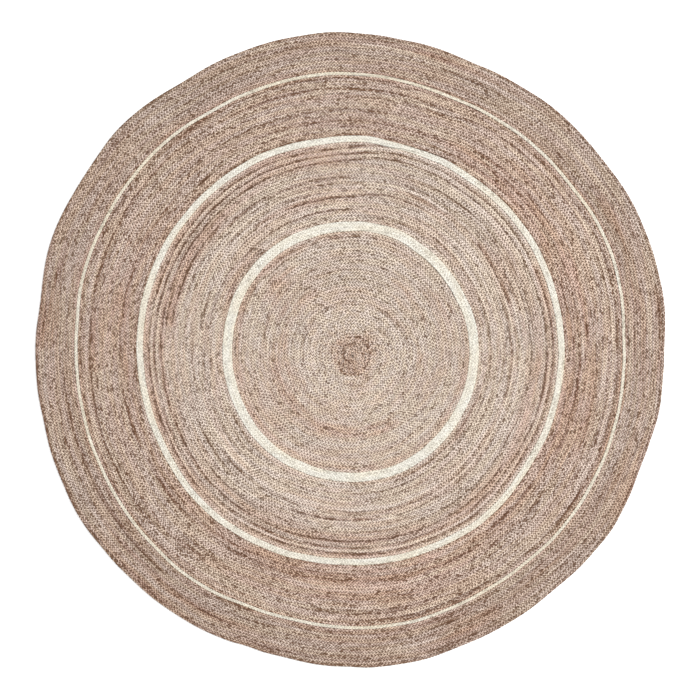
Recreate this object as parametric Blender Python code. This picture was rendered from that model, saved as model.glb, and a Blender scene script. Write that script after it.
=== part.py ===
# A round braided jute rug, about two metres across, lying flat.
#
# A flat braid is coiled from the middle outwards and sewn edge to edge. Its rows run level round
# the rug, and each steps out by the width of one row at the joggle, near the top. Three rings of
# the coil are braided in cream yarn. Each length of one yarn is a solid of its own.
# Metres, +Z up. The rug rests on z = 0 with the middle of its outline's box at the origin.

from math import cos, pi, radians, sin
from typing import NamedTuple

import bmesh
import bpy
from mathutils import Vector

# Driving dimensions
RIM_RADIUS = 1.000
CREST_HEIGHT = 0.0085  # top of a row of braid
GROOVE_HEIGHT = 0.0055  # the sewn seam between two rows
RIM_HEIGHT = 0.004  # outer edge of the last row
SEAM_GAP = 0.0003  # clearance between two lengths of braid
ROW_CORNERS = 36  # corners round each row
JOGGLE_CORNER = 8  # rows step out between this corner and the next
COIL_START = Vector((0.010, -0.019))  # the coil starts off the middle of the rim
SMOOTH_BELOW = radians(50)

CORNER_STEP = 360 / ROW_CORNERS


class Line(NamedTuple):
    """A line that the rows follow: the rows inside it, its mean radius, and its bulges.

    A bulge is a direction, in degrees anticlockwise from +X, and how many millimetres the line
    lies outside its mean radius there. The line eases from each bulge to the next.
    """

    rows: float
    radius: float
    bulges: tuple


INNER_RING = Line(rows=40.5, radius=0.393, bulges=(
    (0, 0), (30, -7), (50, -5), (70, 0), (100, -5), (130, -3), (170, -8), (200, -5),
    (230, 4), (290, 12), (330, 4),
))
MIDDLE_RING = Line(rows=69, radius=0.667, bulges=(
    (0, 2), (12, -1), (40, -2), (56, -6), (78, -7), (87, -1), (97, -5), (112, -1), (150, -3),
    (170, -5), (200, -6), (230, 6), (265, 2), (285, 7), (308, 12), (330, 2),
))
OUTER_RING = Line(rows=90.5, radius=0.871, bulges=(
    (0, -5), (20, 9), (42, -2), (70, -10), (97, 2), (115, -1), (132, 4), (158, 2),
    (182, -8), (215, 0), (237, 7), (250, -2), (283, 10), (304, 1), (322, 5), (340, 3),
))
RIM = Line(rows=104, radius=RIM_RADIUS, bulges=(
    (0, -6), (11, 6), (20, 8), (46, 0), (66, -12), (97, 5), (120, -2), (138, 9), (158, 3),
    (174, -8), (192, -6), (214, 3), (235, 1), (254, -7), (279, 7), (297, -1), (308, -1), (324, 4),
    (341, -7), (351, -4),
))
LINES = (INNER_RING, MIDDLE_RING, OUTER_RING, RIM)


class Braid(NamedTuple):
    """A length of one yarn, with the rows inside it and the rows inside its outer edge."""

    node: str
    first_row: float
    last_row: float
    yarn: str


COIL_BUTTON = 1  # the braid's curled-in start fills the first row
BRAIDS = (
    Braid("centre_jute", COIL_BUTTON, 39, "pale_jute"),
    Braid("inner_cream_ring", 39, 42, "cream"),
    Braid("inner_jute_band", 42, 68, "warm_jute"),
    Braid("middle_cream_ring", 68, 70, "cream"),
    Braid("outer_jute_band", 70, 90, "brown_jute"),
    Braid("outer_cream_ring", 90, 91, "cream"),
    Braid("rim_jute_band", 91, 104, "rim_jute"),
)
YARN_COLOURS = {
    "pale_jute": (0.56, 0.45, 0.36),
    "warm_jute": (0.52, 0.41, 0.32),
    "brown_jute": (0.45, 0.34, 0.27),
    "rim_jute": (0.42, 0.32, 0.25),
    "cream": (0.80, 0.74, 0.63),
}
YARN_ROUGHNESS = 0.9


def direction(degrees):
    return Vector((cos(radians(degrees)), sin(radians(degrees))))


def bulge_towards(line, degrees):
    """How far outside its mean radius the line lies in this direction, in metres."""
    degrees %= 360
    first_turned = (line.bulges[0][0] + 360, line.bulges[0][1])
    for (start, start_mm), (end, end_mm) in zip(line.bulges, line.bulges[1:] + (first_turned,)):
        if start <= degrees <= end:
            share = (1 - cos(pi * (degrees - start) / (end - start))) / 2
            return (start_mm + (end_mm - start_mm) * share) / 1000
    raise ValueError(degrees)


def point_on(line, degrees):
    return direction(degrees) * (line.radius + bulge_towards(line, degrees))


def rim_middle():
    """The middle of the box round the rim's corners."""
    rim = [point_on(RIM, corner * CORNER_STEP / 2) for corner in range(2 * ROW_CORNERS)]
    across = [point.x for point in rim]
    along = [point.y for point in rim]
    return Vector((max(across) + min(across), max(along) + min(along))) / 2


RUG_MIDDLE = rim_middle()


def place(rows, degrees):
    """The point that many rows out from the coil's start, evenly between the lines it lies by."""
    inside, rows_inside = COIL_START, 0
    for line in LINES:
        outside = point_on(line, degrees)
        if rows <= line.rows:
            share = (rows - rows_inside) / (line.rows - rows_inside)
            return inside.lerp(outside, share) - RUG_MIDDLE
        inside, rows_inside = outside, line.rows
    raise ValueError(rows)


class Coil:
    """A length of braid as a closed solid: ribbed on top, upright at its edges, flat below."""

    def __init__(self, braid):
        self.braid = braid
        self.mesh = bmesh.new()
        self.halves = int(2 * (braid.last_row - braid.first_row))
        self.is_centre = braid.first_row == COIL_BUTTON
        self.is_rim = braid.last_row == RIM.rows
        self.top = [self.ring_of_corners(half) for half in range(self.halves + 1)]
        self.outer_between = [self.between(corner, self.rim_height()) for corner in self.corners()]
        self.outer_base = [self.dropped(vertex) for vertex in self.top[-1]]
        self.base_between = [self.between(corner, 0) for corner in self.corners()]

    def corners(self):
        return range(ROW_CORNERS)

    def rim_height(self):
        return RIM_HEIGHT if self.is_rim else GROOVE_HEIGHT

    def ring_of_corners(self, half):
        """The corners of one line of the top: an even line is a groove, an odd one a crest."""
        rows = self.braid.first_row + half / 2
        height = CREST_HEIGHT if half % 2 else GROOVE_HEIGHT
        clearance = 0
        if half == 0 and not self.is_centre:
            clearance = SEAM_GAP / 2
        if half == self.halves:
            height = self.rim_height()
            clearance = 0 if self.is_rim else -SEAM_GAP / 2
        ring = []
        for corner in self.corners():
            degrees = corner * CORNER_STEP
            point = place(rows, degrees) + direction(degrees) * clearance
            ring.append(self.mesh.verts.new((point.x, point.y, height)))
        return ring

    def between(self, corner, height):
        """The rim's extra corner after this one, as a list that is empty on any other braid."""
        if not self.is_rim:
            return []
        point = place(RIM.rows, (corner + 0.5) * CORNER_STEP)
        return [self.mesh.verts.new((point.x, point.y, height))]

    def dropped(self, vertex):
        """A corner on the floor under this one."""
        return self.mesh.verts.new((vertex.co.x, vertex.co.y, 0))

    def add_face(self, *corners):
        self.mesh.faces.new(corners)

    def add_top(self):
        for corner in self.corners():
            after = (corner + 1) % ROW_CORNERS
            step = 2 if corner == JOGGLE_CORNER else 0
            here = [line[corner] for line in self.top]
            there = [line[after] for line in self.top]
            edge = self.outer_between[corner]
            for half in range(self.halves - step):
                last = edge if half == self.halves - 1 else []
                self.add_face(
                    here[half + step], here[half + step + 1], *last, there[half + 1], there[half]
                )
            if step:  # the row that starts at the inner edge, and the one that ends at the outer
                self.add_face(here[0], here[1], there[0])
                self.add_face(here[1], here[2], there[0])
                self.add_face(here[-1], there[-2], there[-3])
                self.add_face(here[-1], *edge, there[-1], there[-2])

    def add_wall_and_base(self):
        if self.is_centre:
            middle = place(0, 0)
            crown = self.mesh.verts.new((middle.x, middle.y, CREST_HEIGHT))
            foot = self.mesh.verts.new((middle.x, middle.y, 0))
        else:
            inner_base = [self.dropped(vertex) for vertex in self.top[0]]
        for corner in self.corners():
            after = (corner + 1) % ROW_CORNERS
            base = (self.outer_base[corner], *self.base_between[corner], self.outer_base[after])
            edge = (self.top[-1][corner], *self.outer_between[corner], self.top[-1][after])
            for near in range(len(base) - 1):
                self.add_face(edge[near], base[near], base[near + 1], edge[near + 1])
            if self.is_centre:
                self.add_face(crown, self.top[0][corner], self.top[0][after])
                self.add_face(foot, *reversed(base))
            else:
                inner = (self.top[0][corner], self.top[0][after])
                self.add_face(inner_base[corner], *inner, inner_base[after])
                self.add_face(inner_base[corner], inner_base[after], *reversed(base))

    def build(self):
        self.add_top()
        self.add_wall_and_base()
        bmesh.ops.recalc_face_normals(self.mesh, faces=self.mesh.faces)
        bmesh.ops.triangulate(self.mesh, faces=self.mesh.faces)
        mesh = bpy.data.meshes.new(self.braid.node)
        self.mesh.to_mesh(mesh)
        self.mesh.free()
        mesh.shade_smooth()
        mesh.set_sharp_from_angle(angle=SMOOTH_BELOW)
        return mesh


def yarn_material(yarn):
    material = bpy.data.materials.new(yarn)
    material.use_nodes = True
    shader = material.node_tree.nodes["Principled BSDF"]
    shader.inputs["Base Color"].default_value = (*YARN_COLOURS[yarn], 1)
    shader.inputs["Roughness"].default_value = YARN_ROUGHNESS
    shader.inputs["Metallic"].default_value = 0
    return material


def clear_scene():
    for thing in list(bpy.data.objects):
        bpy.data.objects.remove(thing, do_unlink=True)


def build_rug():
    rug = bpy.data.collections.new("round_jute_rug")
    bpy.context.scene.collection.children.link(rug)
    materials = {yarn: yarn_material(yarn) for yarn in YARN_COLOURS}
    for braid in BRAIDS:
        mesh = Coil(braid).build()
        mesh.materials.append(materials[braid.yarn])
        rug.objects.link(bpy.data.objects.new(braid.node, mesh))


clear_scene()
build_rug()
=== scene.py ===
from math import ceil, pi

import bpy
import numpy as np
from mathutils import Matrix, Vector


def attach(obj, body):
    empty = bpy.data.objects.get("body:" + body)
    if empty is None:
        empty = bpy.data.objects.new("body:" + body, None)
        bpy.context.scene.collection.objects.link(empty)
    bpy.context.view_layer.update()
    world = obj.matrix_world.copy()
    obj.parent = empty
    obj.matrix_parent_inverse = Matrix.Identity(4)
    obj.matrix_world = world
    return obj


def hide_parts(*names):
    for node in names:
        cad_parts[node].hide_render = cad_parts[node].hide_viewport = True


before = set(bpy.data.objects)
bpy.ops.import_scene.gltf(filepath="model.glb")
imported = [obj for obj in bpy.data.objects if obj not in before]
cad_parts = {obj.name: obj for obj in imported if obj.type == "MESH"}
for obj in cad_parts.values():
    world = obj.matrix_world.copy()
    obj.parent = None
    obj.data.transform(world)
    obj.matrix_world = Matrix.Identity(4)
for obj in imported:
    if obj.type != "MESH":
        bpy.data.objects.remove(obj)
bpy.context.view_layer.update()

# A round rug: one flat plait of jute, coiled from the middle outwards and sewn edge to edge.
# The plait is modelled stitch by stitch along the whole coil, in metres, lying on z = 0.

# the lines that the rows follow: how many rows lie inside, the mean radius, and the bulges, as
# (degrees anticlockwise from +X, millimetres outside the mean radius)
innerRingLine = {"rows": 40.5, "radius": 0.393, "bulges": [
    (0, 0), (30, -7), (50, -5), (70, 0), (100, -5), (130, -3), (170, -8), (200, -5),
    (230, 4), (290, 12), (330, 4)]}
middleRingLine = {"rows": 69, "radius": 0.667, "bulges": [
    (0, 2), (12, -1), (40, -2), (56, -6), (78, -7), (87, -1), (97, -5), (112, -1), (150, -3),
    (170, -5), (200, -6), (230, 6), (265, 2), (285, 7), (308, 12), (330, 2)]}
outerRingLine = {"rows": 90.62, "radius": 0.871, "bulges": [
    (0, -5), (20, 9), (42, -2), (70, -10), (97, 2), (115, -1), (132, 4), (158, 2), (182, -8),
    (215, 0), (237, 7), (250, -2), (283, 10), (304, 1), (322, 5), (340, 3)]}
rimLine = {"rows": 104, "radius": 1.0, "bulges": [
    (0, -6), (11, 6), (20, 8), (46, 0), (66, -12), (97, 5), (120, -2), (138, 9), (158, 3),
    (174, -8), (192, -6), (214, 3), (235, 1), (254, -7), (279, 7), (297, -1), (308, -1),
    (324, 4), (341, -7), (351, -4)]}
layLines = [innerRingLine, middleRingLine, outerRingLine, rimLine]
rimCorners = 72  # of the solid rug's rim, whose box is centred on the origin
rimPull = 0.0015  # the last row is sewn down a little tighter than the rim line
# small dents in the rim, and swells below 0: direction, degrees from the middle to the end, and
# millimetres
rimDents = [(4, 6, -3.5), (21, 6, 2), (40, 6, 1.5), (81, 5, 2.5), (92, 7, -1.5), (124, 7, 3),
            (146, 9, 6), (169, 8, 3.5), (192, 6, 1.5), (219, 5, 2.5), (251, 4, 4), (270, 4, 2),
            (325, 5, -2), (337, 5, 3.5), (354, 6, 2)]

coil = {
    "start": (0.010, -0.019),
    "startTurn": 0.3,  # how far round the curled-in end begins to show
    "stepsPerTurn": 720,  # for measuring along the coil
    "spiralTurns": 5,  # the innermost turns climb evenly all the way round
    "taper": 0.24,  # of a joggle, before a new row is wide enough to plait
    "wobbleTimes": (3, 5, 8, 13, 21, 34),  # waves in one turn
    "wobbleDrift": 0.3,  # radians that a wave moves round from row to row, at most
    "wobble": 0.00030,
    "rimWobble": 0.00028,  # more of it in the outermost rows
    "rimWobblePower": 3,
}

# Each length of one yarn: its solid, its finish, the rows at its level edges, and its joggle, the
# two directions between which its rows step out by one. The coil runs clockwise.
yarnRuns = [
    {"name": "centrePlait", "node": "centre_jute", "finish": "pale_jute",
     "rows": (0, 39), "joggle": (85, 10)},
    {"name": "innerCreamPlait", "node": "inner_cream_ring", "finish": "cream",
     "rows": (39, 42), "joggle": (92, 68)},
    {"name": "innerBandPlait", "node": "inner_jute_band", "finish": "warm_jute",
     "rows": (42, 68), "joggle": (88, 75)},
    {"name": "middleCreamPlait", "node": "middle_cream_ring", "finish": "cream",
     "rows": (68, 70), "joggle": (84, 66)},
    {"name": "outerBandPlait", "node": "outer_jute_band", "finish": "brown_jute",
     "rows": (70, 90), "joggle": (72, 57)},
    {"name": "outerCreamPlait", "node": "outer_cream_ring", "finish": "cream", "kind": "thinCream",
     "rows": (90, 91), "joggle": (92, 76)},
    {"name": "rimPlait", "node": "rim_jute_band", "finish": "rim_jute",
     "rows": (91, 104), "joggle": (78, 63)},
]

# Where darker yarn was plaited in: rows out, from and to in degrees, clockwise, how dark it is, and
# where it drifts, the rows out at its end. Below 0 the yarn is paler. Degrees may go past 360.
darkLengths = [
    # in the centre
    (2.1, 300, 240, 1.0, 2.3), (2.3, 240, 180, 1.1, 3.1), (3.1, 180, 120, 0.7, 3.5),
    (3.5, 120, 85, 0.8), (3.4, 85, 50, 0.4, 3.2), (1.6, 375, 300, 0.5, 1.4),
    (4.5, 278, 222, 0.6, 4.4), (3.9, 380, 352, 0.5), (4.9, 230, 205, 0.8, 5.1),
    (6.2, 80, 50, 0.9, 6.1), (6.0, 52, 22, 1.1), (6.2, 22, 0, 0.6), (6.4, 292, 260, 0.9, 6.6),
    (6.6, 260, 230, 1.2, 6.4), (5.6, 284, 242, 0.6), (6.9, 174, 150, 0.9), (3.4, 368, 350, 0.9),
    (3.3, 302, 290, 0.7), (2.7, 200, 174, 0.8), (1.9, 90, 68, 0.7), (5.6, 66, 50, 0.6),
    (6.0, 226, 196, -0.4), (5.8, 137, 115, -0.5), (6.8, 352, 320, -0.4), (8.6, 184, 168, -0.4),
    (8.6, 118, 107, -0.4), (7.7, 48, 42, 0.8, 7.8), (9.6, 52, 48, 0.6),
    (10.0, 330, 250, 0.35, 10.2), (10.4, 220, 150, 0.4), (10.6, 108, 85, 0.35),
    (12.0, 360, 300, -0.25), (12.2, 58, 43, 0.35), (12.6, 92, 82, -0.3), (14.1, 297, 289, 0.5),
    (13.6, 165, 152, -0.3), (16.2, 225, 192, 0.4), (16.1, 190, 75, 0.33, 16.5),
    (16.6, 122, 98, 0.4, 16.7), (16.8, 75, 0, 0.4, 19.0), (20.6, 258, 215, -0.3, 20.4),
    (22.7, 225, 162, -0.25), (12.9, 175, 150, -0.3), (23.8, 320, 302, 0.3), (18.5, 352, 330, 0.3),
    (19.4, 300, 292, 0.7), (19.4, 170, 140, 0.3), (20.0, 108, 94, 0.35), (24.0, 95, 78, 0.35),
    (25.0, 305, 280, 0.4), (25.5, 262, 250, 0.5), (25.0, 228, 190, 0.3), (25.6, 190, 184, 0.8),
    (25.5, 178, 174, 0.9), (25.3, 172, 118, 0.4, 25.0), (27.0, 120, 78, 0.35),
    (28.3, 120, 92, -0.2), (26.9, 28, 20, 0.7), (27.5, 190, 170, -0.4), (29.0, 172, 155, 0.6),
    (29.0, 118, 112, 0.6), (29.2, 72, 32, 0.4, 30.9), (30.1, 28, 3, -0.25), (31.4, 358, 340, -0.3),
    (32.5, 116, 110, 0.7), (32.4, 88, 80, 0.6), (32.6, 228, 208, -0.3), (33.0, 30, 10, -0.3),
    (34.8, 142, 136, 0.6), (35.7, 215, 200, 0.5), (35.8, 138, 105, 0.35),
    (35.6, 110, 30, 0.25, 36.4), (36.3, 26, 18, 0.6), (37.0, 105, 84, 0.3), (37.4, 290, 262, 0.15),
    (37.2, 168, 60, 0.4, 37.6), (37.2, 155, 140, 0.15), (38.3, 360, 325, -0.25),
    (36.6, 360, 330, -0.3), (37.3, 303, 285, -0.35), (31.5, 265, 252, -0.3),
    (31.2, 143, 132, -0.35), (26.1, 160, 135, 0.3), (38.9, 60, 35, -0.3),
    # in the inner band
    (42.8, 258, 222, -0.4), (42.5, 160, 130, 0.4), (44.0, 345, 290, 0.5), (43.7, 228, 205, 0.6),
    (43.5, 165, 130, 0.4), (44.6, 80, 62, 0.4), (44.8, 190, 165, -0.3), (45.4, 254, 246, 0.6),
    (46.2, 358, 270, 0.4), (45.9, 190, 183, 0.9), (46.3, 150, 143, 0.5), (46.8, 172, 148, 0.5),
    (45.8, 140, 88, 0.7, 46.0), (45.9, 55, 5, 0.5, 46.0), (46.1, 228, 205, 0.35),
    (47.2, 345, 290, -0.3), (47.0, 140, 90, -0.3), (47.1, 60, 15, -0.4),
    (48.6, 345, 280, 0.35, 48.4), (48.4, 255, 180, 0.4, 48.2), (48.3, 224, 216, 0.4),
    (48.9, 119, 114, 0.5), (48.6, 25, 5, -0.25), (48.8, 272, 240, -0.35), (49.5, 250, 215, -0.3),
    (49.5, 173, 158, 0.7), (49.6, 60, 0, -0.35), (50.6, 360, 348, 0.35), (50.2, 135, 112, 0.45),
    (50.2, 112, 88, 0.9), (50.4, 89, 74, 1.0, 52.3), (52.3, 76, 62, 0.6, 51.9),
    (51.6, 332, 270, -0.4), (51.2, 270, 190, -0.2, 51.0), (51.2, 68, 22, -0.5),
    (51.0, 112, 88, -0.4), (51.6, 196, 176, 0.4), (53.0, 360, 342, 0.5),
    (52.8, 330, 270, 0.4, 52.9), (52.6, 252, 218, 0.8), (52.3, 140, 105, 0.6),
    (52.6, 20, 0, 0.5, 52.8), (52.2, 283, 268, 0.5), (54.2, 118, 104, 0.5), (53.8, 360, 300, -0.3),
    (53.6, 250, 185, 0.15), (53.4, 175, 105, -0.4), (53.6, 30, 0, -0.35),
    (54.8, 360, 285, 0.35, 55.0), (54.9, 281, 270, 0.4), (54.9, 270, 250, 0.9),
    (54.9, 228, 205, 0.7), (54.6, 175, 118, 0.3), (54.6, 110, 85, 0.55), (54.6, 70, 52, 0.35),
    (54.8, 40, 32, 0.5), (54.7, 32, 17, 1.0, 54.5), (54.7, 14, 0, 0.5), (55.6, 78, 55, -0.55),
    (55.8, 50, 35, -0.3), (55.9, 20, 5, -0.3), (56.1, 360, 320, -0.3), (56.4, 162, 148, 0.35),
    (56.5, 134, 88, 0.6), (56.7, 75, 55, 0.25), (57.0, 28, 17, 0.35), (58.1, 338, 314, -0.3),
    (57.7, 313, 286, 0.35), (55.8, 286, 258, -0.55), (59.6, 350, 330, -0.35),
    (59.2, 242, 230, -0.35), (58.6, 150, 142, 0.5), (57.2, 224, 212, 0.4), (60.6, 259, 252, 0.5),
    (61.4, 324, 308, -0.35), (62.8, 264, 246, -0.4), (58.3, 30, 8, -0.35), (58.5, 244, 230, 0.4),
    (59.4, 360, 300, 0.5, 59.2), (59.2, 300, 240, 0.4, 59.1), (59.1, 240, 200, 0.6, 59.0),
    (59.0, 172, 158, 0.8, 58.9), (58.9, 158, 138, 1.2, 58.6), (60.2, 260, 253, 0.7),
    (60.8, 173, 163, 0.8), (60.6, 140, 134, 0.7), (59.4, 75, 45, 0.6, 60.1), (60.0, 60, 48, 0.6),
    (60.1, 45, 5, 0.3), (59.1, 50, 0, 0.3), (60.9, 360, 335, -0.25), (60.9, 66, 45, -0.3),
    (61.8, 345, 328, -0.3), (62.2, 324, 285, 0.7), (62.2, 285, 245, 1.0),
    (62.1, 245, 150, 0.7, 62.0), (62.0, 150, 105, 1.0, 61.9), (61.9, 105, 88, 0.55),
    (62.2, 90, 75, 1.0, 64.2), (62.6, 62, 25, -0.4), (63.0, 152, 130, 0.3), (63.3, 125, 92, -0.5),
    (63.4, 240, 160, -0.25, 63.3), (64.5, 360, 300, 0.8), (64.5, 300, 200, 0.75, 64.4),
    (64.4, 200, 170, 0.55, 64.1), (64.5, 217, 208, 0.5), (64.0, 170, 103, 0.9),
    (63.9, 103, 87, 0.45, 64.0), (64.2, 89, 75, 0.9, 66.3), (64.1, 77, 0, 0.6, 64.4),
    (63.0, 90, 76, -0.3, 65.1), (65.5, 360, 275, -0.4, 65.4), (65.1, 275, 90, -0.35, 65.0),
    (65.7, 20, 10, -0.6), (65.2, 82, 74, 0.4), (63.5, 58, 28, -0.35), (64.6, 12, 2, 0.3),
    (65.3, 76, 20, -0.3, 65.4), (65.0, 90, 77, -0.35, 67.4), (66.5, 360, 270, 0.8, 66.6),
    (66.2, 275, 190, 0.75, 66.1), (66.0, 190, 168, 0.8, 65.8), (65.8, 168, 140, 0.9),
    (65.8, 140, 90, 0.75, 66.0), (66.3, 90, 80, 0.6, 67.6), (66.3, 76, 25, 0.6, 66.4),
    (66.5, 25, 0, 0.9), (67.5, 360, 190, -0.2, 67.4), (67.4, 70, 10, -0.3),
    # in the outer band
    (70.4, 330, 250, 0.35), (70.4, 242, 232, 0.5), (70.4, 192, 130, 0.4), (70.2, 130, 105, 0.9),
    (70.3, 105, 85, 0.7), (70.5, 85, 60, 0.5), (70.2, 60, 28, 0.9), (70.4, 28, 0, 0.3),
    (71.3, 330, 240, -0.2), (72.1, 322, 284, -0.4), (71.2, 352, 342, -0.4), (71.2, 198, 186, 0.7),
    (71.7, 54, 38, -0.5), (73.5, 58, 48, 0.5), (73.4, 230, 222, -0.5), (73.8, 114, 102, -0.4),
    (74.5, 44, 34, -0.6), (71.5, 102, 94, 0.5), (72.6, 70, 56, 0.8), (72.7, 56, 50, 0.3),
    (72.5, 20, 8, 0.5), (73.5, 358, 345, 0.4), (73.7, 325, 308, 0.9), (73.2, 270, 240, 0.4),
    (73.3, 240, 212, 0.45), (73.3, 150, 141, 0.45), (73.0, 133, 128, 0.9), (73.0, 95, 85, 0.4),
    (75.6, 360, 335, 0.7, 75.4), (76.0, 304, 288, 0.6), (75.4, 280, 262, 0.7),
    (75.5, 260, 238, 0.6), (75.0, 252, 234, 0.45), (75.5, 228, 212, 1.0, 75.3),
    (75.5, 206, 190, 0.55, 75.6), (75.4, 185, 158, 0.5), (75.4, 158, 130, 0.45),
    (75.2, 115, 66, 0.4, 75.4), (76.4, 120, 100, -0.25), (75.6, 55, 30, 0.4), (75.3, 30, 0, 0.25),
    (75.9, 36, 10, -0.4), (75.5, 289, 279, 0.5), (75.5, 182, 174, 0.5), (76.0, 150, 139, -0.4),
    (76.8, 55, 0, -0.3), (77.6, 60, 34, 0.5), (78.3, 6, 2, 0.9), (78.0, 300, 255, -0.4, 77.5),
    (78.8, 277, 257, -0.35), (79.0, 357, 332, -0.35), (79.1, 322, 312, 0.5),
    (78.6, 324, 305, 0.55), (78.8, 135, 80, 0.4), (78.4, 86, 82, 0.6), (78.8, 26, 18, 0.4),
    (79.2, 58, 28, -0.35, 79.0), (80.4, 242, 228, 0.4), (81.0, 112, 104, -0.45),
    (81.1, 310, 302, 0.5), (81.4, 222, 185, -0.35), (82.4, 338, 316, -0.3), (81.6, 360, 335, 0.35),
    (82.0, 300, 293, 0.4), (81.5, 285, 230, 0.3), (82.7, 20, 3, -0.25), (83.3, 92, 80, 0.4),
    (83.5, 360, 350, -0.3), (82.5, 235, 228, 0.6), (83.5, 78, 68, 0.5), (83.3, 73, 61, 0.55, 85.4),
    (84.9, 128, 90, -0.35), (85.0, 60, 42, -0.4), (83.6, 232, 208, 0.4), (84.2, 314, 306, 0.4),
    (84.3, 74, 56, -0.35, 87.4), (84.5, 360, 348, -0.4), (84.4, 235, 192, 0.35),
    (84.0, 196, 186, 0.4), (85.4, 232, 215, 0.6), (85.0, 352, 330, 0.4),
    (85.8, 352, 338, 0.5, 86.2), (86.1, 282, 262, 0.6), (85.2, 290, 262, 0.7),
    (86.4, 222, 205, 0.9, 86.1), (86.1, 205, 180, 0.8, 85.8), (85.7, 180, 160, 0.9, 85.6),
    (85.8, 160, 122, 0.5), (85.7, 120, 98, 1.0, 85.6), (85.6, 96, 82, 0.9, 85.5),
    (85.8, 82, 70, 0.5), (86.3, 53, 34, 0.6), (86.1, 22, 0, 0.35), (87.0, 56, 0, -0.5),
    (87.2, 360, 340, -0.4), (87.3, 290, 250, -0.25), (86.9, 200, 138, -0.35),
    (87.4, 345, 300, -0.25), (87.1, 178, 168, 0.4), (88.2, 77, 66, -0.5),
    (87.1, 80, 64, -0.5, 87.3), (88.1, 202, 186, -0.45, 87.7), (88.6, 360, 272, 0.6),
    (88.3, 268, 238, -0.5), (88.7, 330, 318, 0.6), (89.3, 298, 280, 0.4), (88.9, 240, 140, 0.3),
    (88.5, 150, 122, 0.5), (89.4, 131, 121, 0.8), (89.0, 122, 80, 0.45), (88.5, 52, 0, 0.6, 88.4),
    (89.5, 213, 208, 0.8),
    # in the rim band
    (91.6, 250, 242, 0.8), (92.6, 302, 235, 0.4), (92.8, 302, 288, 0.15), (92.4, 235, 195, 0.35),
    (92.5, 360, 346, -0.3), (92.8, 62, 38, -0.3), (93.6, 275, 258, -0.35), (93.5, 180, 170, 0.6),
    (95.0, 292, 286, 1.0), (94.0, 219, 208, 0.6), (94.8, 230, 212, 0.9), (94.8, 212, 185, 0.55),
    (94.8, 128, 110, 0.35, 94.7), (95.6, 76, 64, -0.35, 95.8), (94.0, 45, 41, 0.6),
    (94.7, 332, 300, 0.3), (94.9, 255, 243, 0.5), (95.0, 148, 141, 0.4), (95.2, 127, 120, 0.5),
    (96.6, 220, 180, -0.4), (96.3, 162, 148, 0.4), (96.7, 125, 100, 0.35), (97.0, 288, 284, 0.6),
    (97.3, 176, 162, 0.35), (97.7, 345, 280, 0.3), (98.4, 248, 240, 0.8, 98.2),
    (98.0, 245, 225, 0.35, 97.5), (99.7, 244, 215, -0.35), (98.3, 225, 195, 0.3),
    (98.2, 166, 158, 0.5), (98.3, 72, 58, 0.4), (98.5, 288, 277, -0.5, 98.4),
    (98.0, 112, 100, -0.35), (98.9, 225, 206, -0.3), (99.3, 168, 164, 0.6), (99.4, 150, 146, 0.9),
    (99.8, 33, 21, 0.5), (100.0, 120, 96, 0.3), (100.3, 92, 36, -0.4, 99.5),
    (98.6, 60, 30, -0.3, 98.4), (100.4, 276, 267, 0.5), (101.6, 325, 300, 0.3),
    (101.3, 144, 138, 0.4), (101.2, 76, 69, 0.2), (102.1, 264, 255, 0.5), (102.0, 300, 284, 0.6),
    (102.4, 257, 252, 0.7), (102.3, 237, 224, 0.5), (101.6, 178, 170, 0.4), (102.6, 96, 80, 0.4),
    (102.4, 12, 2, 0.6), (103.5, 360, 0, 0.45), (103.5, 225, 180, 0.35), (102.9, 118, 20, -0.3),
    (99.3, 20, 0, -0.45), (102.6, 294, 286, 0.6), (99.5, 324, 304, 0.4), (95.7, 348, 325, 0.35),
    (101.4, 295, 280, -0.3), (102.9, 352, 336, -0.3), (93.6, 370, 354, -0.35),
    (92.4, 220, 213, -0.4), (92.4, 211, 205, 0.5), (93.9, 292, 287, 0.2), (91.4, 345, 262, -0.15),
    (101.3, 341, 332, -0.5), (99.5, 356, 345, -0.3), (98.6, 323, 312, -0.35),
    (100.3, 207, 195, -0.3),
]
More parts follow.
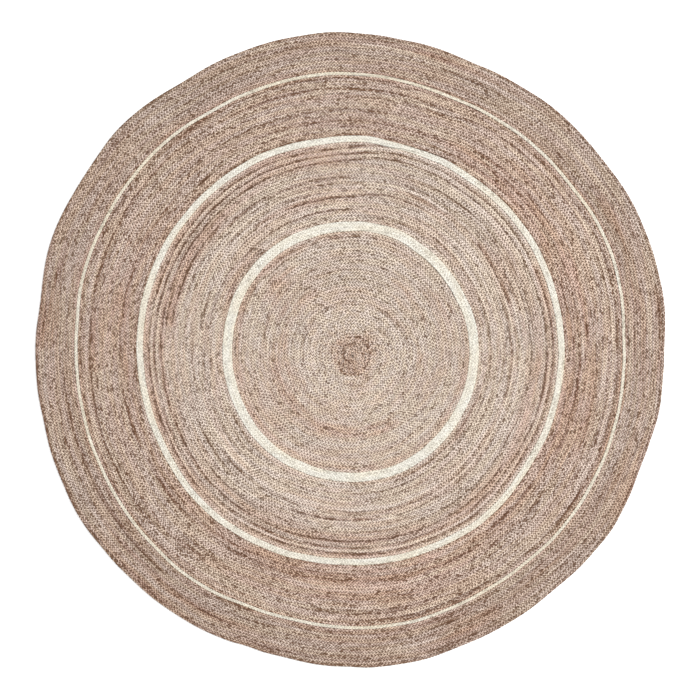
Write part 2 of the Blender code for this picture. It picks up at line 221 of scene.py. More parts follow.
# Where the yarn is redder: rows from and to, degrees from and to, clockwise, and how much. The
# outer cream ring is warmer all the way round.
ruddyPatches = [
    (-2, 6.8, 360, 0, 0.75), (5.5, 8.2, 420, 335, 0.6),
    (7, 9, 360, 270, 0.4), (7, 9, 30, 0, 0.5), (18, 23, 220, 190, 0.6),
    (21, 24, 180, 120, 0.5), (22, 25, 360, 350, 0.5), (24, 28, 305, 240, 0.8),
    (23, 27, 240, 185, 0.6), (25, 26.5, 160, 140, 0.7), (25.5, 27.5, 60, 20, 0.5),
    (28, 35, 232, 205, 0.3), (29, 35, 150, 128, 0.8), (33, 37, 35, 15, 0.5),
    (36.5, 39, 360, 90, 0.7),
    (43, 45, 345, 290, 0.5), (43, 45, 165, 135, 0.5), (49.5, 51, 128, 88, 0.8),
    (53.5, 55.5, 75, 15, 0.7), (54, 55.7, 281, 250, 0.7), (56, 60, 40, 10, 0.3),
    (59, 61, 290, 252, 0.6), (58, 61.5, 173, 134, 1.0), (60, 68, 360, 90, 0.5),
    (61, 63.5, 330, 240, 0.6), (64.5, 66.5, 81, 74, 0.8), (65.5, 67.5, 25, 0, 0.8),
    (70, 76.5, 360, 240, 0.7), (71, 76, 240, 140, 0.5), (71, 79, 65, 0, 0.7),
    (75, 82, 155, 146, 0.6), (76, 82, 360, 330, 0.5), (76, 84, 300, 240, 0.5),
    (76, 86, 185, 165, 0.6), (80, 84, 50, 38, 0.6), (81, 83.5, 302, 290, 0.6),
    (87.5, 90, 135, 122, 0.8), (88, 90, 282, 266, 0.8), (89.6, 91.5, 360, 0, 1.0),
    (91, 104, 300, 286, 0.6), (91, 98, 286, 255, 0.3), (94, 96, 220, 185, 0.5),
    (94, 98, 32, 0, 0.6), (95, 98, 335, 310, 0.5), (96.5, 99, 250, 222, 0.8),
    (97, 103.5, 180, 170, 0.8), (97.5, 99, 168, 155, 0.5), (99, 103, 280, 262, 0.4),
    (98, 104, 345, 325, 0.4), (100, 103, 262, 245, 0.6), (100.5, 102.5, 78, 68, 0.9),
    (101, 103.5, 100, 80, 0.4), (101.5, 103.5, 240, 222, 0.9), (101.5, 103.5, 12, 0, 0.8),
]
marking = {
    "rowsFull": 0.18,  # to each side of a dark length, before it fades
    "rowsFade": 0.45,
    "arcFade": 3.0,  # in degrees
    "patchRowsFade": 1.8,
    "patchArcFade": 14.0,
    # the notes count the rows from this many rows beside the coil's start, in this direction, and
    # count this much more
    "offCentre": (0.20, 158, 0.05),
}

plait = {
    "stitch": 0.010,  # from one lobe to the next on the same side
    # of the plait before it is sewn down
    "flatWidth": {"cream": 0.0118, "thinCream": 0.0108, "jute": 0.0100},
    "longest": 29.0,  # metres plaited in one go, before the next length is joined on
    "lean": 1.0,  # how far the lobes run ahead towards the middle, in half stitches
    "unevenStitch": 0.09,
    "unevenOver": (0.061, 0.173, 0.037),  # metres for a radian of each wave in the stitch length
    "unevenHeight": 0.0007,
    "unevenAcross": 0.02,
    "tightRows": 1.3,  # the first stitches are shorter, out to here
    "tightest": 0.3,
    "narrowHeight": 0.45,  # share of its height that a row has where it begins or ends
    "crestWidth": {"cream": 1.16, "thinCream": 1.07, "jute": 1.03},  # in rows
    "valleyWidth": {"cream": 1.06, "thinCream": 0.98, "jute": 0.99},
    "zigzag": 0.10,  # the middle line swings over to the lower lobe
}
# the section of a row, from its inner edge over the top to its outer edge and back below it:
# place across the row, heights in millimetres at a lobe's crest and between lobes, and place on
# the lobe, from 0 at its outer end to 1 at the middle of the plait
plaitSection = [
    {"across": -1.0, "crest": 7.5, "valley": 5.2, "onLobe": 0.22},
    {"across": -0.5, "crest": 8.5, "valley": 5.4, "onLobe": 0.60},
    {"across": 0.0, "crest": 7.2, "valley": 7.2, "onLobe": 0.97},
    {"across": 0.5, "crest": 8.5, "valley": 5.4, "onLobe": 0.60},
    {"across": 1.0, "crest": 7.5, "valley": 5.2, "onLobe": 0.22},
    {"across": 0.62, "crest": 0.0, "valley": 0.0, "onLobe": 0.03},
    {"across": -0.62, "crest": 0.0, "valley": 0.0, "onLobe": 0.03},
]
fullness = {"cream": 0.82}  # how far soft yarn fills the dips down to its seams
heartPlaces = 3  # the first places of the section, up to the middle, belong to the inner lobes
topPlaces = 5
undersideLobe = (0.03, 0.97)  # the flat underside shows one row of lobes
plaitSeed = 26
rng = np.random.default_rng(plaitSeed)


def towards(angle):
    return np.stack([np.cos(np.radians(angle)), np.sin(np.radians(angle))], -1)


def eased(share):
    return share * share * (3 - 2 * share)


def lineRadius(line, angle):
    first = line["bulges"][0]
    spots = np.array(line["bulges"] + [(first[0] + 360, first[1])], float)
    turned = np.mod(angle, 360)
    after = np.searchsorted(spots[:, 0], turned, side="right").clip(1, len(spots) - 1)
    begin, end = spots[after - 1], spots[after]
    share = (1 - np.cos(pi * (turned - begin[..., 0]) / (end[..., 0] - begin[..., 0]))) / 2
    return line["radius"] + (begin[..., 1] + (end[..., 1] - begin[..., 1]) * share) / 1000


def rimMiddle():
    angle = np.arange(rimCorners) * 360 / rimCorners
    rim = towards(angle) * lineRadius(rimLine, angle)[:, None]
    return (rim.min(0) + rim.max(0)) / 2


rugMiddle = rimMiddle()


def rimDepth(angle):
    depth = np.full(angle.shape, rimPull)
    for middle, reach, deep in rimDents:
        off = np.abs(np.mod(angle - middle + 180, 360) - 180)
        share = (1 + np.cos(pi * np.clip(off / reach, 0, 1))) / 2
        depth = depth + deep / 1000 * share
    return depth


def place(rows, angle):
    # the point that many rows out, evenly between the lines that it lies by
    inside = np.broadcast_to(np.array(coil["start"]), rows.shape + (2,))
    rowsInside = 0
    found = np.zeros(rows.shape + (2,))
    for line in layLines:
        radius = lineRadius(line, angle) - (rimDepth(angle) if line is rimLine else 0)
        outside = towards(angle) * radius[..., None]
        here = (rows >= rowsInside) & (rows <= line["rows"])
        share = ((rows - rowsInside) / (line["rows"] - rowsInside))[..., None]
        found = np.where(here[..., None], inside + (outside - inside) * share, found)
        inside, rowsInside = outside, line["rows"]
    return found - rugMiddle


def joggleShare(run):
    return (run["joggle"][0] - run["joggle"][1]) / 360


def outerEdge(run, turn):
    # rows out to the outer edge of the coil after that many turns of this run
    whole = np.floor(turn)
    part = turn - whole
    step = eased(np.clip(part / joggleShare(run), 0, 1))
    spiral = np.clip(coil["spiralTurns"] + 1 - turn, 0, 1) if run["rows"][0] == 0 else 0
    return run["rows"][0] + whole + step + (part - step) * spiral


def rowEdges(run, turn):
    return (np.clip(outerEdge(run, turn - 1), *run["rows"]),
            np.clip(outerEdge(run, turn), *run["rows"]))


def turnAngle(run, turn):
    return run["joggle"][0] - 360 * turn


wobbleWaves = [{"times": times, "drift": rng.uniform(-coil["wobbleDrift"], coil["wobbleDrift"]),
                "phase": rng.uniform(0, 2 * pi)} for times in coil["wobbleTimes"]]


def wobble(rows, angle):
    # rows were sewn down by hand, so neighbours wander in and out together a little
    shift = sum(np.sin(wave["times"] * np.radians(angle) + wave["drift"] * rows + wave["phase"])
                for wave in wobbleWaves)
    outwards = (rows / rimLine["rows"]) ** coil["rimWobblePower"]
    return (coil["wobble"] + coil["rimWobble"] * outwards) * shift


def onRug(rows, angle):
    return place(rows, angle) + towards(angle) * wobble(rows, angle)[..., None]


def walk(run):
    # follows a run and counts its half stitches, each of which is a column of the mesh
    isCentre = run["rows"][0] == 0
    begin = coil["startTurn"] if isCentre else coil["taper"] * joggleShare(run)
    end = run["rows"][1] - run["rows"][0] + (1 - coil["taper"]) * joggleShare(run)
    turns = np.linspace(begin, end, int(coil["stepsPerTurn"] * end))
    middle = np.mean(rowEdges(run, turns), axis=0)
    walked = np.linalg.norm(np.diff(onRug(middle, turnAngle(run, turns)), axis=0), axis=1)
    metres = np.concatenate([[0], np.cumsum(walked)])
    first, second, third = plait["unevenOver"]
    uneven = (np.sin(metres / first + middle[0]) + np.sin(metres / second)
              + np.sin(metres / third)) / 2
    tightAtStart = np.clip(middle / plait["tightRows"], plait["tightest"], 1)
    halfStitch = plait["stitch"] / 2 * (1 + plait["unevenStitch"] * uneven) * tightAtStart
    columns = np.concatenate([[0], np.cumsum(walked / halfStitch[1:])])
    count = int(columns[-1])
    size = (count + 1, len(plaitSection))
    return {"turns": turns, "metres": metres, "columns": columns, "count": count,
            "drop": rng.uniform(0, plait["unevenHeight"], size),
            "swell": rng.uniform(-plait["unevenAcross"], plait["unevenAcross"], size)}


def inArc(angle, begin, end, fade):
    # 1 inside the arc that runs clockwise, fading out over its ends
    span = begin - end
    if span >= 360:
        return np.ones(angle.shape)
    passed = np.mod(begin - angle, 360)
    return np.clip(np.minimum(passed, span - passed) / fade + 0.5, 0, 1)


def asNoted(rows, angle):
    off, way, out = marking["offCentre"]
    return rows - off * np.cos(np.radians(angle - way)) + out


def darknessAt(rows, angle):
    rows = asNoted(rows, angle)
    shown = np.zeros(rows.shape)
    for first, begin, end, amount, *last in darkLengths:
        share = np.clip(np.mod(begin - angle, 360) / (begin - end), 0, 1)
        drift = (last[0] - first) * eased(share) if last else 0
        off = np.abs(rows - first - drift)
        near = (marking["rowsFull"] + marking["rowsFade"] - off) / marking["rowsFade"]
        shown += amount * np.clip(near, 0, 1) * inArc(angle, begin, end, marking["arcFade"])
    return shown


def rednessAt(rows, angle):
    rows = asNoted(rows, angle)
    shown = np.zeros(rows.shape)
    for first, last, begin, end, amount in ruddyPatches:
        inside = np.minimum(rows - first, last - rows)
        near = np.clip(inside / marking["patchRowsFade"] + 0.5, 0, 1)
        within = inArc(angle, begin, end, marking["patchArcFade"])
        shown = np.maximum(shown, amount * near * within)
    return shown


def plaitKind(run):
    return run.get("kind", "cream" if run["finish"] == "cream" else "jute")


def plaitPoints(run, path, columns):
    points = np.zeros((len(columns), len(plaitSection), 3))
    rowsAt = np.zeros((len(columns), len(plaitSection)))
    kind = plaitKind(run)
    crestWidth, valleyWidth = plait["crestWidth"][kind], plait["valleyWidth"][kind]
    for corner, spot in enumerate(plaitSection):
        side = np.sign(spot["across"])
        isTop = corner < topPlaces
        onCrest = columns % 2 == (0 if side < 0 else 1)
        far = abs(spot["across"]) if isTop else 1
        ahead = plait["lean"] * (0.5 - far)
        turn = np.interp(columns + ahead, path["columns"], path["turns"])
        inner, outer = rowEdges(run, turn)
        across = spot["across"] * np.where(onCrest, crestWidth, valleyWidth)
        if side == 0:
            across = np.where(columns % 2 == 0, plait["zigzag"], -plait["zigzag"])
        if isTop and far < 1:
            across = across + path["swell"][columns, corner]
        rows = (inner + (across + 1) / 2 * (outer - inner)).clip(0, rimLine["rows"])
        height = np.where(onCrest, spot["crest"], spot["valley"]) / 1000
        if isTop:
            crown = plaitSection[1]["crest"] / 1000
            height = height + (crown - height) * fullness.get(run["finish"], 0)
            narrow = 1 - np.clip(outer - inner, 0, 1)
            kept = 1 - (1 - plait["narrowHeight"]) * narrow
            height = (height - path["drop"][columns, corner]) * kept
        points[:, corner, :2] = onRug(rows, turnAngle(run, turn))
        points[:, corner, 2] = height
        rowsAt[:, corner] = rows
    return points, rowsAt


def plaitMesh(run, path, name, first, last):
    columns = np.arange(first, last + 1)
    points, rowsAt = plaitPoints(run, path, columns)
    count, around = len(columns), len(plaitSection)
    vertex = np.arange(count * around).reshape(count, around)
    faces, places = [], []
    for corner in range(around):
        after = (corner + 1) % around
        faces.append(np.stack([vertex[:-1, corner], vertex[1:, corner],
                               vertex[1:, after], vertex[:-1, after]], -1))
        # U counts the lobes along the row and V is 0 to 1 over inner lobes, 1 to 2 over outer ones
        isInner = corner < heartPlaces - 1 or corner >= topPlaces
        begin = (columns[:-1] + (1 if isInner else 0)) / 2
        low = plaitSection[corner]["onLobe"] + (0 if isInner else 1)
        high = plaitSection[after]["onLobe"] + (0 if isInner else 1)
        if corner == topPlaces:
            low, high = undersideLobe
        places.append(np.stack([
            np.stack([begin, np.full_like(begin, low)], -1),
            np.stack([begin + 0.5, np.full_like(begin, low)], -1),
            np.stack([begin + 0.5, np.full_like(begin, high)], -1),
            np.stack([begin, np.full_like(begin, high)], -1)], 1))
    faces = np.stack(faces, 1).reshape(-1, 4)
    places = np.stack(places, 1).reshape(-1, 2)
    ends = [vertex[0], vertex[-1, ::-1]]
    endPlace = np.tile([first / 2 + 0.25, 0.5], (2 * around, 1))  # both ends show a lobe's middle

    mesh = bpy.data.meshes.new(name)
    mesh.vertices.add(count * around)
    mesh.vertices.foreach_set("co", points.astype(np.float32).ravel())
    corners = np.concatenate([faces.ravel(), *ends]).astype(np.int32)
    mesh.loops.add(len(corners))
    mesh.loops.foreach_set("vertex_index", corners)
    starts = np.concatenate([np.arange(len(faces)) * 4, len(faces) * 4 + np.array([0, around])])
    mesh.polygons.add(len(starts))
    mesh.polygons.foreach_set("loop_start", starts.astype(np.int32))
    mesh.update(calc_edges=True)
    uv = mesh.uv_layers.new(name="plait")
    uv.uv.foreach_set("vector", np.concatenate([places, endPlace]).astype(np.float32).ravel())

    turn = np.interp(columns, path["columns"], path["turns"])
    angle = np.broadcast_to(turnAngle(run, turn)[:, None], rowsAt.shape)
    for label, values in (("rowsOut", rowsAt), ("darkYarn", darknessAt(rowsAt, angle)),
                          ("ruddyYarn", rednessAt(rowsAt, angle))):
        attribute = mesh.attributes.new(label, "FLOAT", "POINT")
        attribute.data.foreach_set("value", values.astype(np.float32).ravel())
    mesh.polygons.foreach_set("use_smooth", np.ones(len(starts), bool))
    mesh.validate()
    return mesh


# Small helpers for node trees.
noiseMiddle = 0.5  # a noise runs from 0 to 1, mostly near its middle


def newGroup(name, takes, gives):
    group = bpy.data.node_groups.new(name, "ShaderNodeTree")
    for label, value in takes.items():
        socket = group.interface.new_socket(label, in_out="INPUT", socket_type="NodeSocketFloat")
        socket.default_value = value
    for label in gives:
        group.interface.new_socket(label, in_out="OUTPUT", socket_type="NodeSocketFloat")
    start = group.nodes.new("NodeGroupInput")
    end = group.nodes.new("NodeGroupOutput")
    return group, start.outputs, end.inputs


def feed(tree, socket, value):
    if isinstance(value, bpy.types.NodeSocket):
        tree.links.new(value, socket)
    else:
        socket.default_value = value


def calc(tree, operation, *values, clamp=False):
    node = tree.nodes.new("ShaderNodeMath")
    node.operation = operation
    node.use_clamp = clamp
    for socket, value in zip(node.inputs, values):
        feed(tree, socket, value)
    return node.outputs[0]


def vector(tree, x, y, z=0.0):
    node = tree.nodes.new("ShaderNodeCombineXYZ")
    for socket, value in zip(node.inputs, (x, y, z)):
        feed(tree, socket, value)
    return node.outputs[0]


def split(tree, source):
    node = tree.nodes.new("ShaderNodeSeparateXYZ")
    feed(tree, node.inputs[0], source)
    return node.outputs


def noise(tree, where, detail=0.0, kind="3D"):
    node = tree.nodes.new("ShaderNodeTexNoise")
    node.noise_dimensions = kind
    node.inputs["Scale"].default_value = 1
    node.inputs["Detail"].default_value = detail
    feed(tree, node.inputs["Vector"], where)
    return node.outputs[0]


def smoothMask(tree, value, low, high):
    node = tree.nodes.new("ShaderNodeMapRange")
    node.interpolation_type = "SMOOTHSTEP"
    for label, given in (("Value", value), ("From Min", low), ("From Max", high)):
        feed(tree, node.inputs[label], given)
    return node.outputs[0]


def plaitPlace(tree):
    node = tree.nodes.new("ShaderNodeUVMap")
    node.uv_map = "plait"
    along, over, _ = split(tree, node.outputs[0])
    return along, over


def onMesh(tree, label):
    node = tree.nodes.new("ShaderNodeAttribute")
    node.attribute_name = label
    return node.outputs["Fac"]


def stitchGroup():
    # one lobe of a strand after another: its own shade, the odd dark one, painted shade in the
    # hollows at its ends and along its edges, and its rounded top with the twist of the yarn
    group, takes, gives = newGroup(
        "stitches",
        {"Dark lobes": 0.05, "Painted dip shade width": 0.6, "Painted edge shade width": 0.3, "Roundness": 2.5,
         "Yarn turns": 3.0, "Yarn lean": 2.0, "Twist depth": 0.25},
        ["Shade", "Dark lobe", "Painted dip shade", "Painted edge shade", "Height"])
    along, over = plaitPlace(group)
    lobe = calc(group, "FLOOR", along)
    side = calc(group, "FLOOR", over)
    random = group.nodes.new("ShaderNodeTexWhiteNoise")
    random.noise_dimensions = "2D"
    feed(group, random.inputs["Vector"], vector(group, lobe, side))
    shade, darkness, _ = split(group, random.outputs["Color"])
    alongLobe = calc(group, "FRACT", along)
    overLobe = calc(group, "FRACT", over)
    offCentre = calc(group, "ABSOLUTE", calc(group, "MULTIPLY_ADD", alongLobe, 2.0, -1.0))
    offMiddle = calc(group, "ABSOLUTE", calc(group, "MULTIPLY_ADD", overLobe, 2.0, -1.0))
    rim = calc(group, "MAXIMUM", offCentre, offMiddle)
    shadeDipFrom = calc(group, "SUBTRACT", 1.0, takes["Painted dip shade width"])
    edgeFrom = calc(group, "SUBTRACT", 1.0, takes["Painted edge shade width"])
    domed = calc(group, "SUBTRACT", 1.0, calc(group, "POWER", rim, takes["Roundness"]))
    turned = calc(group, "MULTIPLY_ADD", along, takes["Yarn turns"],
                  calc(group, "MULTIPLY", overLobe, takes["Yarn lean"]))
    twist = calc(group, "SINE", calc(group, "MULTIPLY", turned, 2 * pi))
    feed(group, gives["Shade"], shade)
    feed(group, gives["Dark lobe"], calc(group, "LESS_THAN", darkness, takes["Dark lobes"]))
    # painted shade: darker towards each lobe's ends, in the hollows between one lobe and the next
    feed(group, gives["Painted dip shade"], smoothMask(group, offCentre, shadeDipFrom, 1.0))
    # painted shade: darker along the lobes' edges across the row, in the grooves between rows and
    # at the plait's middle line
    feed(group, gives["Painted edge shade"], smoothMask(group, offMiddle, edgeFrom, 1.0))
    feed(group, gives["Height"], calc(group, "MULTIPLY_ADD", twist, takes["Twist depth"], domed))
    return group


def streakGroup():
    # lengths of darker yarn: in one strand of three, which dots the row, or in all of the plait
    strands = 3.0
    laneGap, laneStart = 17.3, 5.1  # each strand reads its own line of the noise
    group, takes, gives = newGroup(
        "yarn streaks",
        {"Stitches long": 50.0, "Row share": 0.6, "Row fade": 0.12, "Strand share": 0.6,
         "Strand fade": 0.10},
        ["Row", "Strand"])
    along, over = plaitPlace(group)
    travelled = calc(group, "DIVIDE", along, takes["Stitches long"])
    lobe = calc(group, "FLOOR", along)
    side = calc(group, "FLOOR", over)
    strand = calc(group, "FLOORED_MODULO", calc(group, "MULTIPLY_ADD", side, 2.0, lobe), strands)
    strandLane = calc(group, "MULTIPLY_ADD", strand, laneGap, laneStart)
    rowNoise = noise(group, vector(group, travelled, 0.0), detail=1.0, kind="2D")
    strandNoise = noise(group, vector(group, travelled, strandLane), detail=1.0, kind="2D")
    rowTop = calc(group, "ADD", takes["Row share"], takes["Row fade"])
    strandTop = calc(group, "ADD", takes["Strand share"], takes["Strand fade"])
    feed(group, gives["Row"], smoothMask(group, rowNoise, takes["Row share"], rowTop))
    feed(group, gives["Strand"], smoothMask(group, strandNoise, takes["Strand share"], strandTop))
    return group


def batchGroup():
    # patches where neighbouring rows share a tone, longer along the rows than across them
    group, takes, gives = newGroup(
        "yarn batches", {"Round": 3.0, "Rows deep": 5.0, "Seed": 0.0}, ["Patch"])
    position = group.nodes.new("ShaderNodeTexCoord")
    x, y, _ = split(group, position.outputs["Object"])
    aimed = group.nodes.new("ShaderNodeVectorMath")
    aimed.operation = "NORMALIZE"
    feed(group, aimed.inputs[0], vector(group, x, y))
    aimX, aimY, _ = split(group, aimed.outputs[0])
    out = calc(group, "DIVIDE", onMesh(group, "rowsOut"), takes["Rows deep"])
    where = vector(group, calc(group, "MULTIPLY_ADD", aimX, takes["Round"], takes["Seed"]),
                   calc(group, "MULTIPLY", aimY, takes["Round"]), out)
    feed(group, gives["Patch"], noise(group, where, detail=1.0))
    return group


def fibreGroup():
    # fibres run with the strand from the edge of the plait to its middle; flecks are where they
    # bunch up
    group, takes, gives = newGroup(
        "fibres",
        {"Fine": 12.0, "Fine length": 1.7, "Fleck": 3.3, "Fleck length": 1.8},
        ["Tone", "Flecks", "Height"])
    along, over = plaitPlace(group)
    hairs = noise(group, vector(group, calc(group, "MULTIPLY", along, takes["Fine"]),
                                calc(group, "MULTIPLY", over, takes["Fine length"])),
                  detail=2.0, kind="2D")
    flecks = noise(group, vector(group, calc(group, "MULTIPLY", along, takes["Fleck"]),
                                 calc(group, "MULTIPLY", over, takes["Fleck length"])), kind="2D")
    feed(group, gives["Tone"], hairs)
    feed(group, gives["Flecks"], flecks)
    feed(group, gives["Height"], calc(group, "SUBTRACT", hairs, noiseMiddle))
    return group


groups = {"stitches": stitchGroup(), "streaks": streakGroup(), "batches": batchGroup(),
          "fibres": fibreGroup()}
print("node groups built")


def useGroup(tree, name, **values):
    node = tree.nodes.new("ShaderNodeGroup")
    node.node_tree = groups[name]
    for label, value in values.items():
        node.inputs[label.replace("_", " ")].default_value = value
    return node.outputs


def mixColours(tree, share, first, second, blend="MIX"):
    node = tree.nodes.new("ShaderNodeMix")
    node.data_type = "RGBA"
    node.blend_type = blend
    node.clamp_factor = True
    feed(tree, node.inputs["Factor"], share)
    feed(tree, node.inputs["A"], first)
    feed(tree, node.inputs["B"], second)
    return node.outputs["Result"]


# The finishes. The tone runs from the deep colour at 0 to the pale one at 1: lobes, flecks, fibres
# and batch vary it, and darkLobe, darkYarn, rows and strands lower it, while dipShade and edge
# lower it as painted shade in the hollows between lobes and in the grooves along their edges.
# darkShare is the share of lobes that are dark, long to strandShare are for the streaks, round and
# rowsDeep for the batches, and zones are shifts of the tone as (rows out, shift).
finishes = {
    "pale_jute": {
        "deep": (0.135, 0.083, 0.053, 1), "pale": (0.772, 0.666, 0.586, 1),
        "ruddy": (0.93, 0.812, 0.768, 1), "golden": (1, 0.985, 0.92, 1),
        "tone": 0.713, "lobes": 0.32, "flecks": 1.10, "fibres": 0.35, "batch": 0.16,
        "dipShade": 0.88, "edge": 0.0, "darkLobe": 0.42, "darkShare": 0.05, "darkYarn": 0.30,
        "rows": 0.05, "strands": 0.08, "long": 120, "rowShare": 0.56, "strandShare": 0.58,
        "round": 1.6, "rowsDeep": 4,
        "zones": [(0, 0.04), (2, -0.04), (3, -0.05), (5, -0.06), (7.5, 0.0), (22, 0.01),
                  (27, -0.02), (33, 0.01), (39, 0.0)]},
    "warm_jute": {
        "deep": (0.135, 0.083, 0.053, 1), "pale": (0.772, 0.662, 0.582, 1),
        "ruddy": (0.885, 0.755, 0.709, 1), "golden": (1, 0.985, 0.92, 1),
        "tone": 0.755, "lobes": 0.36, "flecks": 1.38, "fibres": 0.35, "batch": 0.16,
        "dipShade": 0.92, "edge": 0.0, "darkLobe": 0.42, "darkShare": 0.06, "darkYarn": 0.38,
        "rows": 0.06, "strands": 0.10, "long": 160, "rowShare": 0.55, "strandShare": 0.55,
        "round": 2.0, "rowsDeep": 3,
        "zones": [(42, -0.02), (50, 0.0), (55, -0.02), (60, -0.03), (64, -0.03), (68, 0.01)]},
    "brown_jute": {
        "deep": (0.130, 0.070, 0.042, 1), "pale": (0.762, 0.635, 0.556, 1),
        "ruddy": (0.90, 0.775, 0.722, 1), "golden": (1, 0.985, 0.905, 1),
        "tone": 0.650, "lobes": 0.38, "flecks": 1.46, "fibres": 0.35, "batch": 0.18,
        "dipShade": 0.92, "edge": 0.0, "darkLobe": 0.50, "darkShare": 0.10, "darkYarn": 0.36,
        "rows": 0.05, "strands": 0.10, "long": 160, "rowShare": 0.56, "strandShare": 0.57,
        "round": 2.6, "rowsDeep": 3,
        "zones": [(70, 0.04), (73, 0.0), (77, 0.0), (81, 0.01), (86, -0.01), (88, -0.04),
                  (90, -0.03)]},
    "rim_jute": {
        "deep": (0.130, 0.073, 0.045, 1), "pale": (0.757, 0.633, 0.557, 1),
        "ruddy": (0.90, 0.772, 0.720, 1), "golden": (1, 0.985, 0.905, 1),
        "tone": 0.567, "lobes": 0.33, "flecks": 1.14, "fibres": 0.35, "batch": 0.20,
        "dipShade": 0.85, "edge": 0.0, "darkLobe": 0.44, "darkShare": 0.08, "darkYarn": 0.32,
        "rows": 0.05, "strands": 0.08, "long": 140, "rowShare": 0.56, "strandShare": 0.58,
        "round": 3.0, "rowsDeep": 3,
        "zones": [(91, 0.0), (96, -0.01), (98, 0.0), (101, -0.02), (103, -0.02), (104, -0.07)]},
    "cream": {
        "deep": (0.26, 0.232, 0.188, 1), "pale": (0.740, 0.713, 0.641, 1),
        "ruddy": (1, 0.945, 0.87, 1), "golden": (1, 0.985, 0.955, 1),
        "tone": 0.79, "lobes": 0.31, "flecks": 1.20, "fibres": 0.35, "batch": 0.10,
        "dipShade": 0.44, "edge": 0.12, "darkLobe": 0.30, "darkShare": 0.04, "darkYarn": 0.0,
        "rows": 0.0, "strands": 0.0, "long": 60, "rowShare": 0.60, "strandShare": 0.60,
        "round": 3, "rowsDeep": 4,
        "zones": [(39, 0.0), (42, 0.0), (68, -0.02), (70, -0.02), (90, -0.08), (91, -0.08)]},
}


def zoneTone(tree, zones):
    # an even curve of lightness over the rows of one band, drawn about the middle of its height
    level = 0.5
    first, last = zones[0][0], zones[-1][0]
    curve = tree.nodes.new("ShaderNodeFloatCurve")
    points = curve.mapping.curves[0].points
    spots = [((rows - first) / (last - first), level + shift) for rows, shift in zones]
    for spot in spots[1:-1]:
        points.new(*spot)
    points[0].location = spots[0]
    points[-1].location = spots[-1]
    curve.mapping.update()
    span = calc(tree, "SUBTRACT", onMesh(tree, "rowsOut"), first)
    span = calc(tree, "DIVIDE", span, last - first, clamp=True)
    feed(tree, curve.inputs["Value"], span)
    return calc(tree, "SUBTRACT", curve.outputs[0], level)


# what all the yarns share; the patches are (times round, rows deep, seed), and a mask of a patch
# sets in at the first value of its noise and is full at the second
yarnShared = {
    "mottle": (8, 1.3, 4), "mottleContrast": 3.0, "mottleShift": -0.5, "mottleLeast": 0.1,
    "gold": (5, 1.8, 17), "goldMask": (0.40, 0.60),
    "redSeed": 9, "redMask": (0.42, 0.62), "redPatches": 0.4,
    "redNoted": 0.8, "redInDark": 0.4,
    "dotsInDark": 0.34,  # more of the lobes are dark where darker yarn was plaited in
    "roughness": 0.68, "fibreRoughness": 0.3, "specular": 0.25,
    "relief": 0.0012, "reliefStrength": 0.8, "fibreRelief": 0.5,
}


def patches(tree, around, rowsDeep, seed=0):
    return useGroup(tree, "batches", Round=around, Rows_deep=rowsDeep, Seed=seed)["Patch"]


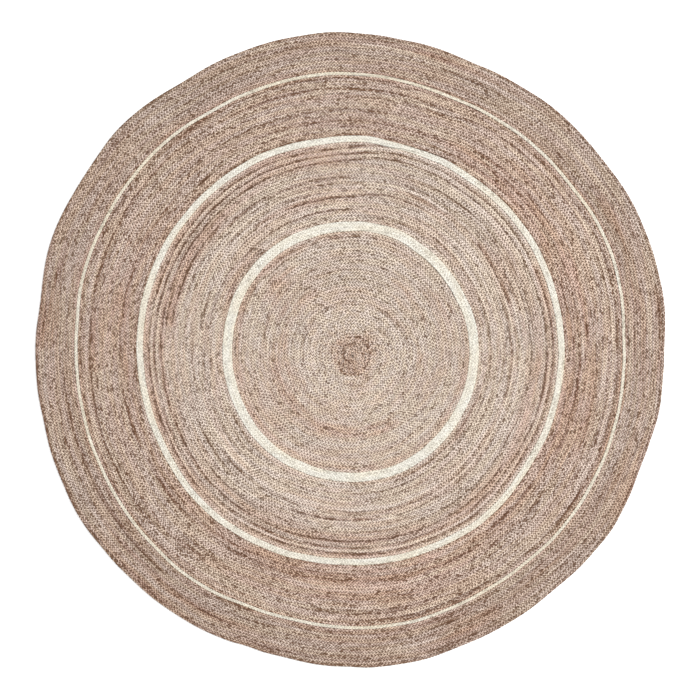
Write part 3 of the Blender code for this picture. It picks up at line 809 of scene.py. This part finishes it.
def yarnMaterial(name, looks):
    material = bpy.data.materials.new(name)
    material.use_nodes = True
    tree = material.node_tree
    shader = tree.nodes["Principled BSDF"]
    streaks = useGroup(tree, "streaks", Stitches_long=looks["long"], Row_share=looks["rowShare"],
                       Strand_share=looks["strandShare"])
    batch = patches(tree, looks["round"], looks["rowsDeep"])
    redness = patches(tree, looks["round"], looks["rowsDeep"], yarnShared["redSeed"])
    mottle = patches(tree, *yarnShared["mottle"])
    gold = patches(tree, *yarnShared["gold"])
    uneven = calc(tree, "MULTIPLY_ADD", mottle, yarnShared["mottleContrast"],
                  yarnShared["mottleShift"])
    uneven = calc(tree, "MAXIMUM", uneven, yarnShared["mottleLeast"])
    darkYarn = calc(tree, "MULTIPLY", onMesh(tree, "darkYarn"), uneven)
    ruddyYarn = calc(tree, "MULTIPLY", onMesh(tree, "ruddyYarn"), uneven)
    fibres = useGroup(tree, "fibres")
    stitches = useGroup(tree, "stitches")
    dots = calc(tree, "MULTIPLY_ADD", darkYarn, yarnShared["dotsInDark"], looks["darkShare"])
    feed(tree, stitches["Shade"].node.inputs["Dark lobes"], dots)

    tone = calc(tree, "ADD", zoneTone(tree, looks["zones"]), looks["tone"])
    for mask, middle, amount in (
            (stitches["Shade"], noiseMiddle, looks["lobes"]),
            (batch, noiseMiddle, looks["batch"]),
            (fibres["Flecks"], noiseMiddle, looks["flecks"]),
            (fibres["Tone"], noiseMiddle, looks["fibres"]),
            (streaks["Row"], 0.0, -looks["rows"]),
            (streaks["Strand"], 0.0, -looks["strands"]),
            (stitches["Dark lobe"], 0.0, -looks["darkLobe"]),
            # painted shade: the tone drops towards each lobe's ends, in the hollows between lobes
            (stitches["Painted dip shade"], 0.0, -looks["dipShade"]),
            # painted shade: the tone drops along the lobes' edges, in the grooves between rows and
            # at the plait's middle line
            (stitches["Painted edge shade"], 0.0, -looks["edge"]),
            (darkYarn, 0.0, -looks["darkYarn"])):
        tone = calc(tree, "MULTIPLY_ADD", calc(tree, "SUBTRACT", mask, middle), amount, tone)
    tone = calc(tree, "MAXIMUM", tone, 0.0)
    colour = mixColours(tree, tone, looks["deep"], looks["pale"])

    redInDark = calc(tree, "MULTIPLY", darkYarn, yarnShared["redInDark"])
    noted = calc(tree, "MULTIPLY", calc(tree, "ADD", ruddyYarn, redInDark), yarnShared["redNoted"])
    redMask = smoothMask(tree, redness, *yarnShared["redMask"])
    reddened = calc(tree, "MULTIPLY_ADD", redMask, yarnShared["redPatches"], noted, clamp=True)
    colour = mixColours(tree, reddened, colour, looks["ruddy"], blend="MULTIPLY")
    goldMask = smoothMask(tree, gold, *yarnShared["goldMask"])
    colour = mixColours(tree, goldMask, colour, looks["golden"], blend="MULTIPLY")
    feed(tree, shader.inputs["Base Color"], colour)
    feed(tree, shader.inputs["Roughness"],
         calc(tree, "MULTIPLY_ADD", fibres["Tone"], yarnShared["fibreRoughness"],
              yarnShared["roughness"]))
    shader.inputs["Specular IOR Level"].default_value = yarnShared["specular"]

    relief = tree.nodes.new("ShaderNodeBump")
    relief.inputs["Distance"].default_value = yarnShared["relief"]
    relief.inputs["Strength"].default_value = yarnShared["reliefStrength"]
    feed(tree, relief.inputs["Height"],
         calc(tree, "MULTIPLY_ADD", fibres["Height"], yarnShared["fibreRelief"],
              stitches["Height"]))
    feed(tree, shader.inputs["Normal"], relief.outputs[0])
    return material


materials = {name: yarnMaterial(name, looks) for name, looks in finishes.items()}
print("materials:", ", ".join(materials))


# Lays each run of yarn, in lengths that a maker would plait in one go.
for run in yarnRuns:
    path = walk(run)
    lengths = ceil(path["metres"][-1] / plait["longest"])
    joins = np.linspace(0, path["metres"][-1], lengths + 1)
    cuts = np.interp(joins, path["metres"], path["columns"])
    cuts = cuts.round().astype(int).clip(0, path["count"])
    for number, (begin, end) in enumerate(zip(cuts, cuts[1:]), 1):
        name = run["name"] + (str(number) if lengths > 1 else "")
        piece = bpy.data.objects.new(name, plaitMesh(run, path, name, begin, end))
        piece.data.materials.append(materials[run["finish"]])
        bpy.context.scene.collection.objects.link(piece)
        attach(piece, "root")
        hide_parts(run["node"])

# The floor, the lights and the camera.
studio = {
    "floorSize": 30.0, "floorGap": 0.0004, "floorTone": 0.95, "floorMottle": 0.004,
    "floorRoughness": 0.9, "floorSpecular": 0.1,
    "sky": 1.0, "skyColour": (1, 1, 1, 1),
    "key": {"place": (10.0, 3.6, 10.6), "size": 6.0, "watts": 1900},
    "fill": {"place": (-7.0, -3.0, 13.8), "size": 9.0, "watts": 400},
}


def paleFloor():
    material = bpy.data.materials.new("floor")
    material.use_nodes = True
    tree = material.node_tree
    shader = tree.nodes["Principled BSDF"]
    position = tree.nodes.new("ShaderNodeTexCoord")
    cloud = noise(tree, position.outputs["Object"], detail=1.0)
    level = calc(tree, "MULTIPLY_ADD", calc(tree, "SUBTRACT", cloud, noiseMiddle),
                 studio["floorMottle"], studio["floorTone"])
    feed(tree, shader.inputs["Base Color"], level)
    shader.inputs["Roughness"].default_value = studio["floorRoughness"]
    shader.inputs["Specular IOR Level"].default_value = studio["floorSpecular"]
    return material


half = studio["floorSize"] / 2
floorMesh = bpy.data.meshes.new("floor")
floorMesh.from_pydata([(-half, -half, 0), (half, -half, 0), (half, half, 0), (-half, half, 0)], [],
                      [(0, 1, 2, 3)])
floor = bpy.data.objects.new("floor", floorMesh)
floor.location.z = -studio["floorGap"]
floor.data.materials.append(paleFloor())
bpy.context.scene.collection.objects.link(floor)

world = bpy.data.worlds.new("studio")
world.use_nodes = True
sky = world.node_tree.nodes["Background"]
sky.inputs["Color"].default_value = studio["skyColour"]
sky.inputs["Strength"].default_value = studio["sky"]
bpy.context.scene.world = world


def aim(thing, target):
    thing.rotation_euler = (Vector(target) - thing.location).to_track_quat("-Z", "Y").to_euler()


for name in ("key", "fill"):
    lamp = bpy.data.lights.new(name, "AREA")
    lamp.shape = "DISK"
    lamp.size = studio[name]["size"]
    lamp.energy = studio[name]["watts"]
    light = bpy.data.objects.new(name, lamp)
    light.location = studio[name]["place"]
    aim(light, (0, 0, 0))
    bpy.context.scene.collection.objects.link(light)

view = {
    "photoSize": 700, "metresPerPixel": 0.003157, "lens": 85, "sensor": 36,
    "circleAt": (349.45, 349.64),  # pixels to the middle of the rim's circle, from the top left
}
middle = view["photoSize"] / 2
across = view["photoSize"] * view["metresPerPixel"]
lens = bpy.data.cameras.new("camera")
lens.lens = view["lens"]
lens.sensor_width = view["sensor"]
camera = bpy.data.objects.new("camera", lens)
camera.location = (
    -rugMiddle[0] + (middle - view["circleAt"][0]) * view["metresPerPixel"],
    -rugMiddle[1] - (middle - view["circleAt"][1]) * view["metresPerPixel"],
    across * view["lens"] / view["sensor"])
bpy.context.scene.collection.objects.link(camera)
bpy.context.scene.camera = camera
bpy.context.scene.view_settings.view_transform = "Standard"
print("studio ready")
